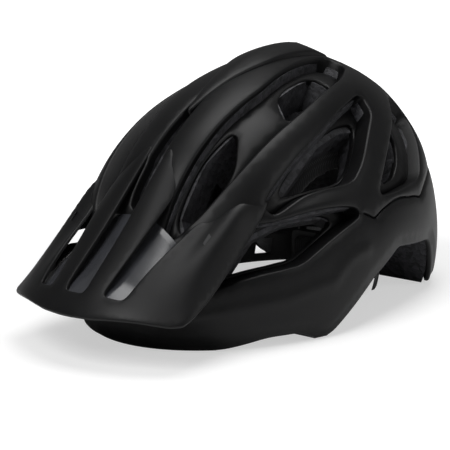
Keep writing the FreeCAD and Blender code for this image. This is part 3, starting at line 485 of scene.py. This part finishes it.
openings = [softened(on_dome(GROOVE), 0.3)]
for side, tag in SIDES:
    for outline in (CHANNEL, UPPER_RECESS, LOWER_RECESS, REAR_RECESS, EXHAUST_HOLE):
        openings.append(softened(on_dome(outline, side)))
openings.append(strip(seam_line, SEAM_HALF))
walls = [RIM_WALL, GROOVE_WALL] + [CHANNEL_WALL] * (len(openings) - 2) + [SEAM_WALL]
crown_shell = plate("crown_shell", dome_points, dome_plan, [rim] + openings, walls,
                    EDGE_ROUND, shell_height, grid=0.022)
crown_shell.data.materials.append(polycarbonate)
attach(crown_shell, "helmet")
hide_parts("upper_shell", "lower_shell")

# ------------------------------------------------------------- channel floors
# The foam carries a second formed skin in the air channels: it bridges between
# the through holes, and its edges turn down into them.

FLOOR_EDGE = 0.0012
FLOOR_WALL = 0.002
FLOOR_HOLE_WALL = 0.004
FLOOR_PILLOW = 0.0008
FLOOR_PILLOW_RUN = 0.005
FLOOR_SPREAD = 1.01
FLOORS = (("channel_floor_", CHANNEL, (FRONT_HOLE, TOP_HOLE), 0.0085),
          ("window_floor_", UPPER_RECESS, (UPPER_HOLE,), 0.0115),
          ("brow_floor_", LOWER_RECESS, (LOWER_HOLE,), 0.0115),
          ("nape_floor_", REAR_RECESS, (REAR_HOLE,), 0.0075))


def floor_height(deep):
    """Height function of a channel floor this far under the dome."""
    return lambda plan, base, distance: pillow(distance, FLOOR_PILLOW, FLOOR_PILLOW_RUN) - deep


for side, tag in SIDES:
    for name, outline, holes, deep in FLOORS:
        loops = [softened(on_dome(o, side)) for o in (outline,) + holes]
        centre = loops[0].mean(0)
        loops[0] = centre + (loops[0] - centre) * FLOOR_SPREAD
        walls = [FLOOR_WALL] + [FLOOR_HOLE_WALL] * len(holes)
        floor = plate(name + tag, dome_points, dome_plan, loops, walls, FLOOR_EDGE,
                      floor_height(deep), grid=0.03)
        floor.data.materials.append(polycarbonate)
        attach(floor, "helmet")

# ----------------------------------------------------------------- crown tail
# Hollow raised fin along the back of the crown, moulded apart from the shell
# and bonded on. It opens rearwards.

TAIL = [(-0.012, 70), (0.012, 70), (0.07, 84), (0.135, 97), (0.15, 110), (0.125, 126),
        (-0.125, 126), (-0.15, 110), (-0.135, 97), (-0.07, 84)]
TAIL_WALL = 0.012
TAIL_EDGE = 0.0012
TAIL_SEAT = 0.0006
TAIL_RISE = 0.0075
TAIL_START, TAIL_CLIMB = 68, 42
TAIL_END, TAIL_FALL = 130, 14
TAIL_SHARE = 0.15
TAIL_ROUND = 0.45
TAIL_PILLOW = 0.0008
TAIL_PILLOW_RUN = 0.006


def tail_height(plan, base, distance):
    """Lift of the tail: it climbs rearwards, falls to its end and is round across."""
    across, degrees = over_crown(plan)
    rise = TAIL_RISE * eased(np.clip((degrees - TAIL_START) / TAIL_CLIMB, 0, 1))
    rise *= np.clip((TAIL_END - degrees) / TAIL_FALL, 0, 1)
    rise *= 1 - TAIL_ROUND * np.abs(across) / TAIL_SHARE
    return SHELL_PROUD + TAIL_SEAT + rise + pillow(distance, TAIL_PILLOW, TAIL_PILLOW_RUN)


tail = plate("tail_fin", dome_points, dome_plan, [softened(on_dome(TAIL), 0.22)],
             [TAIL_WALL], TAIL_EDGE, tail_height, grid=0.018)
tail.data.materials.append(polycarbonate)
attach(tail, "helmet")
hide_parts("crown_tail")

# ----------------------------------------------------------------------- peak
# Moulded peak with four ribs and three air slots. It plugs into the crown with
# two studs and pulls off forwards.

PEAK_WALL = 0.0022
PEAK_EDGE = 0.0007
PEAK_PILLOW = 0.0005
PEAK_PILLOW_RUN = 0.006
BRIM_Y = -0.1793
CORNER = (0.066, -0.154)
PEAK_STATIONS = [-0.1823, -0.169, -0.154, -0.124, -0.085, -0.058]
PEAK_MIDDLE = [0.028, 0.0456, 0.0588, 0.0852, 0.1195, 0.1433]
PEAK_SHOULDER = [0.008, 0.020, 0.033, 0.057, 0.088, 0.100]
PEAK_SKIRT = [0.000, 0.012, 0.027, 0.043, 0.072, 0.097]
SEAM_REACH = 0.055
PEAK_PROUD = 0.0033
SHOULDER_X = 0.0625
SKIRT_X = 0.072
STATION_EASE = (-0.006, -0.003, 0, 0.003, 0.006)
RISE_LIMIT = 0.15


def dome_rise(x, y):
    """Height of the dome over a plan point, or of its edge line outside it."""
    low = np.zeros(len(x))
    high = np.full(len(x), RISE_LIMIT)
    for _ in range(18):
        middle = (low + high) / 2
        local = (np.column_stack([x, y, middle + DOME_CENTRE[2]]) - DOME_CENTRE) @ turn / DOME_HALF
        inside = (np.abs(local) ** DOME_FULLNESS).sum(1) < 1
        low = np.where(inside, middle, low)
        high = np.where(inside, high, middle)
    return low + DOME_CENTRE[2]


def free_rise(x, y):
    """Height of the peak's outer face before it is fitted to the dome."""
    middle, shoulder, skirt = (np.mean([np.interp(y + s, PEAK_STATIONS, h)
                                        for s in STATION_EASE], axis=0)
                               for h in (PEAK_MIDDLE, PEAK_SHOULDER, PEAK_SKIRT))
    wide = np.abs(x)
    arch = middle - (middle - shoulder) * (np.minimum(wide, SHOULDER_X) / SHOULDER_X) ** 2
    fall = np.clip((wide - SHOULDER_X) / (SKIRT_X - SHOULDER_X), 0, 1.2)
    return arch - (shoulder - skirt) * fall


def peak_rise(x, y):
    """Height of the peak's outer face, which lands on the dome at the seam."""
    near = eased(np.clip((y - seam_station(x) + SEAM_REACH) / SEAM_REACH, 0, 1))
    return free_rise(x, y) + np.interp(np.abs(x), seam_x, seam_step) * near


seam_x = np.linspace(0.0, SKIRT_X + 0.001, 38)
seam_y = seam_station(seam_x)
seam_step = dome_rise(seam_x, seam_y) + PEAK_PROUD - free_rise(seam_x, seam_y)
seam_step = np.convolve(np.pad(seam_step, 3, "edge"), np.full(7, 1 / 7), "valid")


def peak_points(plan, lift=0.0):
    """Places on the peak's outer face, raised along its normal."""
    x, y = plan.T
    d = 0.0005
    slope_x = (peak_rise(x + d, y) - peak_rise(x - d, y)) / (2 * d)
    slope_y = (peak_rise(x, y + d) - peak_rise(x, y - d)) / (2 * d)
    normal = np.column_stack([-slope_x, -slope_y, np.ones(len(x))])
    normal /= np.linalg.norm(normal, axis=1)[:, None]
    return np.column_stack([x, y, peak_rise(x, y)]) + normal * np.reshape(lift, (-1, 1))


def plan_below(points):
    """Plan places straight under points."""
    return points[:, :2]


def peak_outline():
    """Plan outline: brim arc, sides, and the four ribs round the three slots."""
    sweep = np.linspace(-1, 1, 25)
    brim = [(CORNER[0] * s, BRIM_Y + (CORNER[1] - BRIM_Y) * s * s) for s in sweep]
    half = [(0.0705, -0.149), (0.072, -0.140), (0.072, -0.100), (0.072, -0.066), (0.067, -0.066),
            (0.053, -0.093), (0.0455, -0.1015), (0.0435, -0.106), (0.0352, -0.160),
            (0.0335, -0.1632), (0.0225, -0.1662), (0.021, -0.164), (0.0268, -0.106),
            (0.0245, -0.100), (0.014, -0.089), (0.0085, -0.085), (0.0062, -0.088),
            (0.0081, -0.165), (0.0065, -0.169)]
    other = [(-x, y) for x, y in reversed(half)]
    return softened(np.array(brim + half + other), 0.3)


def peak_height(plan, base, distance):
    """Lift of the peak, with its ribs and brim slightly pillowed."""
    return pillow(distance, PEAK_PILLOW, PEAK_PILLOW_RUN)


peak = plate("peak_shell", peak_points, plan_below, [peak_outline()], [PEAK_WALL], PEAK_EDGE,
             peak_height, grid=0.0029, spacing=0.0015, under=PEAK_WALL)
peak.data.materials.append(polycarbonate)
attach(peak, "peak_unit")
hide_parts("peak")

# --------------------------------------------------------------- scoop panel
# Gloss panel snapped under the peak. It ramps down behind each air slot and
# turns the air into the crown's channels.

SCOOP_WALL = 0.0016
SCOOP_EDGE = 0.0003
SCOOP_STATIONS = [-0.180, -0.169, -0.150, -0.112]
SCOOP_DROPS = [0.0004, 0.0004, 0.0060, 0.0115]
SCOOP_HALF = 0.047
SCOOP_WIDE = 0.061
SCOOP_CORNER = -0.1610
SCOOP_FRONT = -0.1725
SCOOP_BACK = -0.113


def scoop_points(plan, lift=0.0):
    """Places on the panel, which ramps down from the peak's inner face."""
    p = peak_points(plan, lift)
    p[:, 2] -= PEAK_WALL + np.interp(plan[:, 1], SCOOP_STATIONS, SCOOP_DROPS)
    return p


corners = [(-SCOOP_HALF, SCOOP_CORNER), (0.0, SCOOP_FRONT), (SCOOP_HALF, SCOOP_CORNER),
           (SCOOP_WIDE, SCOOP_BACK), (-SCOOP_WIDE, SCOOP_BACK)]
scoop = plate("scoop_panel", scoop_points, plan_below, [softened(np.array(corners), 0.1)],
              [SCOOP_WALL], SCOOP_EDGE, lambda plan, base, distance: 0.0, grid=0.003,
              spacing=0.0015, under=SCOOP_WALL)
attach(scoop, "peak_unit")
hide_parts("peak_scoops")

# ------------------------------------------------------------- moulded pieces
# Hard pieces keep their engineered shape, with their sharp edges eased by the
# mould: foam liner, headband, belts, cradle, gears, dial and buckle.


def beaded_foam():
    """Expanded foam moulded from beads about 3 mm across, flattened against the
    tool: a faint net of bead joints and a grain that sparkles a little."""
    made, tree, shader = new_material("beaded_foam", IOR=1.45, Roughness=0.62)
    at = add_node(tree, "TexCoord").outputs["Object"]
    beads = add_node(tree, "TexVoronoi", {"Vector": at, "Scale": 330.0},
                     feature="DISTANCE_TO_EDGE")
    tint = add_node(tree, "TexVoronoi", {"Vector": at, "Scale": 330.0})
    grain = add_node(tree, "TexNoise", {"Vector": at, "Scale": 2500.0, "Detail": 2.0})
    colour_by(tree, shader, tint.outputs["Color"], "#1c1c1e", "#4c4c50")
    joint = add_node(tree, "MapRange", {"Value": beads.outputs["Distance"], "From Max": 0.25})
    height = add_node(tree, "Math", {0: joint.outputs["Result"], 1: grain.outputs["Fac"]},
                      operation="ADD")
    bump_by(tree, shader, height.outputs["Value"], 0.5, 0.0003)
    return made


def moulded(name, dark, light, roughness, grain_mm, ior=1.53, **sockets):
    """Injection-moulded polymer with a spark-eroded grain."""
    made, tree, shader = new_material(name, IOR=ior, Roughness=roughness, **sockets)
    at = add_node(tree, "TexCoord").outputs["Object"]
    drift = add_node(tree, "TexNoise", {"Vector": at, "Scale": 45.0, "Detail": 3.0})
    grain = add_node(tree, "TexNoise", {"Vector": at, "Scale": 1000.0 / grain_mm, "Detail": 1.0})
    colour_by(tree, shader, drift.outputs["Fac"], dark, light, 0.3, 0.7)
    roughen_by(tree, shader, drift.outputs["Fac"], roughness - 0.05, roughness + 0.07)
    bump_by(tree, shader, grain.outputs["Fac"], 0.15, 0.0001)
    return made


foam = beaded_foam()
scoop_gloss = moulded("gloss_styrene", "#2e2f32", "#3a3b3f", 0.18, 2.0)
nylon = moulded("moulded_nylon", "#151516", "#1c1c1e", 0.45, 0.7)
rubber = moulded("moulded_rubber", "#121212", "#181818", 0.75, 0.5, 1.5)
acetal = moulded("white_acetal", "#d9d6cd", "#e4e2da", 0.30, 1.0, 1.48)
zinc = moulded("zinc_plated_steel", "#8f8f92", "#a5a5a8", 0.30, 0.8, 1.5, Metallic=1.0)

scoop.data.materials.append(scoop_gloss)
finishes = {
    foam: ["eps_liner"],
    nylon: ["peak_studs", "headband", "fit_belt_left", "fit_belt_right", "temple_pins",
            "rear_cradle", "height_strip", "height_guide", "dial_housing", "housing_cover",
            "strap_anchors", "strap_divider_left", "strap_divider_right", "divider_lever_left",
            "divider_lever_right", "buckle_socket", "buckle_tongue"],
    rubber: ["peak_grommets", "dial_knob", "strap_keeper"],
    acetal: ["dial_pinion", "rack_left", "rack_right", "click_ring"],
    zinc: ["dial_screw"],
}
EASED = {
    0.0005: ["rear_cradle"],
    0.0004: ["dial_housing", "housing_cover", "buckle_socket", "strap_divider_left",
             "strap_divider_right", "fit_belt_left", "fit_belt_right", "height_guide",
             "headband", "height_strip"],
    0.0003: ["buckle_tongue", "divider_lever_left", "divider_lever_right", "dial_knob",
             "strap_keeper"],
}
for material, names in finishes.items():
    for name in names:
        shown = nodes[name]
        shown.data.materials.clear()
        shown.data.materials.append(material)
for width, names in EASED.items():
    for name in names:
        weld = nodes[name].modifiers.new("weld", "WELD")
        weld.merge_threshold = 1e-6
        bevel = nodes[name].modifiers.new("eased_edges", "BEVEL")
        bevel.width = width
        bevel.segments = 2
        bevel.limit_method = "ANGLE"
        bevel.angle_limit = math.radians(35)
        bevel.use_clamp_overlap = True

# -------------------------------------------------------------------- padding
# Open-cell foam pads in brushed knit covers. Each is cut, wrapped and welded at
# its edge, and hook tape holds it to the foam or the headband.

PAD_VOXEL = 0.0025
PAD_SWELL = 0.0012
PAD_PRESSURE = 4.0
PAD_FRAMES = 14


def brushed_knit():
    """Brushed polyester knit: fine wales drawn 2 mm apart, coarser than the real
    half millimetre so that they show, with a soft nap at grazing light."""
    made, tree, shader = new_material("brushed_knit", IOR=1.5, Roughness=0.9,
                                      Sheen_Weight=0.35, Sheen_Roughness=0.4)
    at = add_node(tree, "TexCoord").outputs["Object"]
    wales = add_node(tree, "TexWave", {"Vector": at, "Scale": 160.0, "Distortion": 1.5,
                                       "Detail": 1.0}, bands_direction="X")
    courses = add_node(tree, "TexWave", {"Vector": at, "Scale": 160.0, "Distortion": 1.5,
                                         "Detail": 1.0}, bands_direction="Y")
    both = add_node(tree, "Math", {0: wales.outputs["Fac"], 1: courses.outputs["Fac"]},
                    operation="MULTIPLY")
    colour_by(tree, shader, both.outputs["Value"], "#0f0f10", "#28282b")
    bump_by(tree, shader, both.outputs["Value"], 0.6, 0.0003)
    return made


knit = brushed_knit()


def settle(made):
    """Applies a piece's modifiers."""
    graph = bpy.context.evaluated_depsgraph_get()
    done = bpy.data.meshes.new_from_object(made.evaluated_get(graph))
    made.modifiers.clear()
    made.data = done


def swollen(node, name):
    """Copy of a soft solid, blown up a little as cloth under pressure."""
    copy = nodes[node].data.copy()
    made = bpy.data.objects.new(name, copy)
    bpy.context.scene.collection.objects.link(made)
    remesh = made.modifiers.new("remesh", "REMESH")
    remesh.mode = "VOXEL"
    remesh.voxel_size = PAD_VOXEL
    settle(made)
    rest = np.array([v.co for v in made.data.vertices])
    cloth = made.modifiers.new("cloth", "CLOTH")
    cloth.settings.use_pressure = True
    cloth.settings.uniform_pressure_force = PAD_PRESSURE
    cloth.settings.effector_weights.gravity = 0
    scene = bpy.context.scene
    for step in range(1, PAD_FRAMES + 1):
        scene.frame_set(step)
        bpy.context.view_layer.update()
    settle(made)
    scene.frame_set(1)
    now = np.array([v.co for v in made.data.vertices])
    move = now - rest
    far = np.linalg.norm(move, axis=1)[:, None]
    move *= np.minimum(1, PAD_SWELL / np.maximum(far, 1e-9))
    made.data.vertices.foreach_set("co", (rest + move).ravel())
    smooth = made.modifiers.new("smooth", "SMOOTH")
    smooth.factor = 0.5
    smooth.iterations = 3
    subdivision = made.modifiers.new("subdivision", "SUBSURF")
    subdivision.levels = subdivision.render_levels = 1
    settle(made)
    made.data.polygons.foreach_set("use_smooth", [True] * len(made.data.polygons))
    made.data.materials.clear()
    made.data.materials.append(knit)
    return made


for node, name, body, fill in (("brow_pad", "brow_pad_cover", "helmet", 0.6),
                               ("crown_pads", "crown_pad_covers", "helmet", 0.6),
                               ("nape_pads", "nape_pad_covers", "cradle_unit", 0.6),
                               ("chin_pad", "chin_pad_cover", "helmet", 0.5)):
    pad = swollen(node, name)
    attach(pad, body)
    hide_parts(node)

# -------------------------------------------------------------------- webbing
# Woven polyester webbing, 15 mm wide and 1.2 mm thick, threaded through the
# anchors, dividers and buckle, and standing on its edge inside the rim.

WEB_WIDTH = 0.015
WEB_WALL = 0.0012
SELVEDGE = 0.0016
SELVEDGE_ROUND = 0.0004
WEB_MIDDLE = 0.0091
LOOP_X = 0.057
LOOP_Y = -0.044
LOOP_CORNER = 0.020


def woven_webbing():
    """Plain-woven webbing: ribs across it 1.1 mm apart and a rounded selvedge."""
    made, tree, shader = new_material("woven_webbing", IOR=1.5, Roughness=0.8,
                                      Sheen_Weight=0.2, Sheen_Roughness=0.5)
    at = add_node(tree, "UVMap").outputs["UV"]
    ribs = add_node(tree, "TexWave", {"Vector": at, "Scale": 290.0, "Distortion": 0.3},
                    bands_direction="Y")
    warp = add_node(tree, "TexWave", {"Vector": at, "Scale": 210.0}, bands_direction="X")
    both = add_node(tree, "Math", {0: ribs.outputs["Fac"], 1: warp.outputs["Fac"]},
                    operation="MULTIPLY")
    colour_by(tree, shader, both.outputs["Value"], "#0d0d0e", "#262629")
    bump_by(tree, shader, both.outputs["Value"], 0.7, 0.0003)
    return made


webbing_cloth = woven_webbing()


def webbing(name, path, up, thick=WEB_WALL):
    """Strap along a path, its width along up, with rounded selvedges and a UV map
    in metres: across it and along it."""
    mesh = bmesh.new()
    chart = mesh.loops.layers.uv.new("weave")
    half = WEB_WIDTH / 2
    face = [(w, 0.5) for w in (-half + SELVEDGE_ROUND, -half + SELVEDGE, 0, half - SELVEDGE,
                               half - SELVEDGE_ROUND)]
    section = [(-half, 0)] + face + [(half, 0)] + [(w, -t) for w, t in reversed(face)]
    path = [Vector(p) for p in path]
    run = 0.0
    rows = []
    for i, p in enumerate(path):
        ahead = path[min(i + 1, len(path) - 1)] - path[max(i - 1, 0)]
        across = up - ahead.normalized() * up.dot(ahead.normalized())
        across.normalize()
        out = across.cross(ahead.normalized())
        run += (p - path[i - 1]).length if i else 0.0
        ring = [mesh.verts.new(p + across * w + out * (t * thick)) for w, t in section]
        rows.append((ring, run))
    count = len(section)
    for (low, a), (high, b) in zip(rows, rows[1:]):
        for k in range(count):
            quad = mesh.faces.new([low[k - 1], low[k], high[k], high[k - 1]])
            spots = [(section[k - 1][0], a), (section[k][0], a), (section[k][0], b),
                     (section[k - 1][0], b)]
            for corner, spot in zip(quad.loops, spots):
                corner[chart].uv = spot
    mesh.faces.new(rows[0][0])
    mesh.faces.new(rows[-1][0][::-1])
    bmesh.ops.recalc_face_normals(mesh, faces=mesh.faces)
    made = piece(name, mesh)
    made.data.materials.append(webbing_cloth)
    return made


def spaced(start, end, step=0.004):
    """Even places from start to end."""
    start, end = Vector(start), Vector(end)
    count = max(2, int((end - start).length / step))
    return [start.lerp(end, k / count) for k in range(count + 1)]


UP = Vector((0, 0, 1))
STRAP_HEIGHTS = {"front": (0.013, 0.0095), "rear": (0.062, 0.0121)}
for side, tag in SIDES:
    for which, (anchor_z, divider_z) in STRAP_HEIGHTS.items():
        node = which + "_strap_" + tag
        low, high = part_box(node)
        wide, narrow = (high.x, low.x) if side > 0 else (low.x, high.x)
        anchor_y, divider_y = (low.y, high.y) if which == "front" else (high.y, low.y)
        path = spaced((wide - side * WEB_WALL, anchor_y, anchor_z),
                      (narrow + side * WEB_WALL, divider_y, divider_z))
        strap = webbing(node + "_web", path, UP)
        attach(strap, "helmet")
        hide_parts(node)
    low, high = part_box("chin_strap_" + tag)
    inner = low.x if side > 0 else high.x
    path = spaced((side * LOOP_X, high.y, WEB_MIDDLE),
                  (side * LOOP_X, LOOP_Y + LOOP_CORNER, WEB_MIDDLE))
    path += [Vector((side * (LOOP_X - LOOP_CORNER + LOOP_CORNER * math.cos(a)),
                     LOOP_Y + LOOP_CORNER - LOOP_CORNER * math.sin(a), WEB_MIDDLE))
             for a in [math.radians(d) for d in range(10, 91, 10)]]
    path += spaced((side * (LOOP_X - LOOP_CORNER), LOOP_Y, WEB_MIDDLE),
                   (inner, LOOP_Y, WEB_MIDDLE))[1:]
    strap = webbing("chin_strap_" + tag + "_web", path, UP)
    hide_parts("chin_strap_" + tag)
    if side > 0:
        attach(strap, "helmet")
    else:
        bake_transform(strap)

# ----------------------------------------------------------------------- room
# Pale floor and soft studio light, and a camera low and to the front left.

CAMERA_AZIMUTH = math.radians(38.0)
CAMERA_ELEVATION = math.radians(12.77)
CAMERA_DISTANCE = 1.045
CAMERA_LENS = 122.3
TARGET = Vector((0.0, -0.019, 0.0595))
FLOOR_REACH = 6.0
FLOOR_DROP = 0.0002

mesh = bmesh.new()
bmesh.ops.create_grid(mesh, x_segments=1, y_segments=1, size=FLOOR_REACH)
bmesh.ops.translate(mesh, verts=mesh.verts, vec=(0, 0, -FLOOR_DROP))
floor = piece("floor", mesh, False)
floor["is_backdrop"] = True
paint, tree, shader = new_material("floor_paint", Roughness=0.9)
shader.inputs["Base Color"].default_value = linear("#f2f2f2")
rays = add_node(tree, "LightPath")
glow = add_node(tree, "Emission", {"Color": (1, 1, 1, 1), "Strength": 1.35})
at = add_node(tree, "TexCoord").outputs["Object"]
far = add_node(tree, "VectorMath", {0: at}, operation="LENGTH")
even = add_node(tree, "MapRange", {"Value": far.outputs["Value"], "From Min": 0.25,
                                   "From Max": 0.42, "To Min": 0.40, "To Max": 1.0})
share = add_node(tree, "Math", {0: rays.outputs["Is Camera Ray"], 1: even.outputs["Result"]},
                 operation="MULTIPLY")
mixed = add_node(tree, "MixShader", {0: share.outputs["Value"], 1: shader.outputs["BSDF"],
                                     2: glow.outputs["Emission"]})
under = add_node(tree, "NewGeometry").outputs["Backfacing"]
clear = add_node(tree, "BsdfTransparent")
sided = add_node(tree, "MixShader", {0: under, 1: mixed.outputs["Shader"],
                                     2: clear.outputs["BSDF"]})
tree.links.new(sided.outputs["Shader"], tree.nodes["Material Output"].inputs["Surface"])
floor.data.materials.append(paint)

world = bpy.data.worlds.new("studio")
world.use_nodes = True
bpy.context.scene.world = world
tree = world.node_tree
paths = add_node(tree, "LightPath")
seen = add_node(tree, "Math", {0: paths.outputs["Is Camera Ray"],
                               1: paths.outputs["Is Transmission Ray"]}, operation="ADD")
level = add_node(tree, "MapRange", {"Value": seen.outputs["Value"], "To Min": 0.16, "To Max": 1.0})
sky = tree.nodes["Background"]
sky.inputs["Color"].default_value = (1, 1, 1, 1)
tree.links.new(level.outputs["Result"], sky.inputs["Strength"])

for name, spot, size, power in (("key_light", (0.1, -1.1, 1.3), 0.8, 13.0),
                                ("side_light", (1.5, 0.5, 0.9), 0.5, 3.5),
                                ("top_light", (0.0, 0.2, 1.7), 1.0, 15.0)):
    lamp = bpy.data.lights.new(name, "AREA")
    lamp.size = size
    lamp.energy = power
    holder = bpy.data.objects.new(name, lamp)
    bpy.context.scene.collection.objects.link(holder)
    holder.location = spot
    holder.rotation_euler = (TARGET - Vector(spot)).to_track_quat("-Z", "Y").to_euler()

camera = bpy.data.objects.new("camera", bpy.data.cameras.new("camera"))
bpy.context.scene.collection.objects.link(camera)
bpy.context.scene.camera = camera
back = Vector((math.sin(CAMERA_AZIMUTH) * math.cos(CAMERA_ELEVATION),
               -math.cos(CAMERA_AZIMUTH) * math.cos(CAMERA_ELEVATION),
               math.sin(CAMERA_ELEVATION)))
camera.location = TARGET + back * CAMERA_DISTANCE
camera.rotation_euler = (-back).to_track_quat("-Z", "Y").to_euler()
camera.data.lens = CAMERA_LENS
camera.data.sensor_width = 36.0
camera.data.clip_start = 0.05
camera.data.clip_end = 50.0
bpy.context.scene.view_settings.view_transform = "Standard"

low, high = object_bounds()
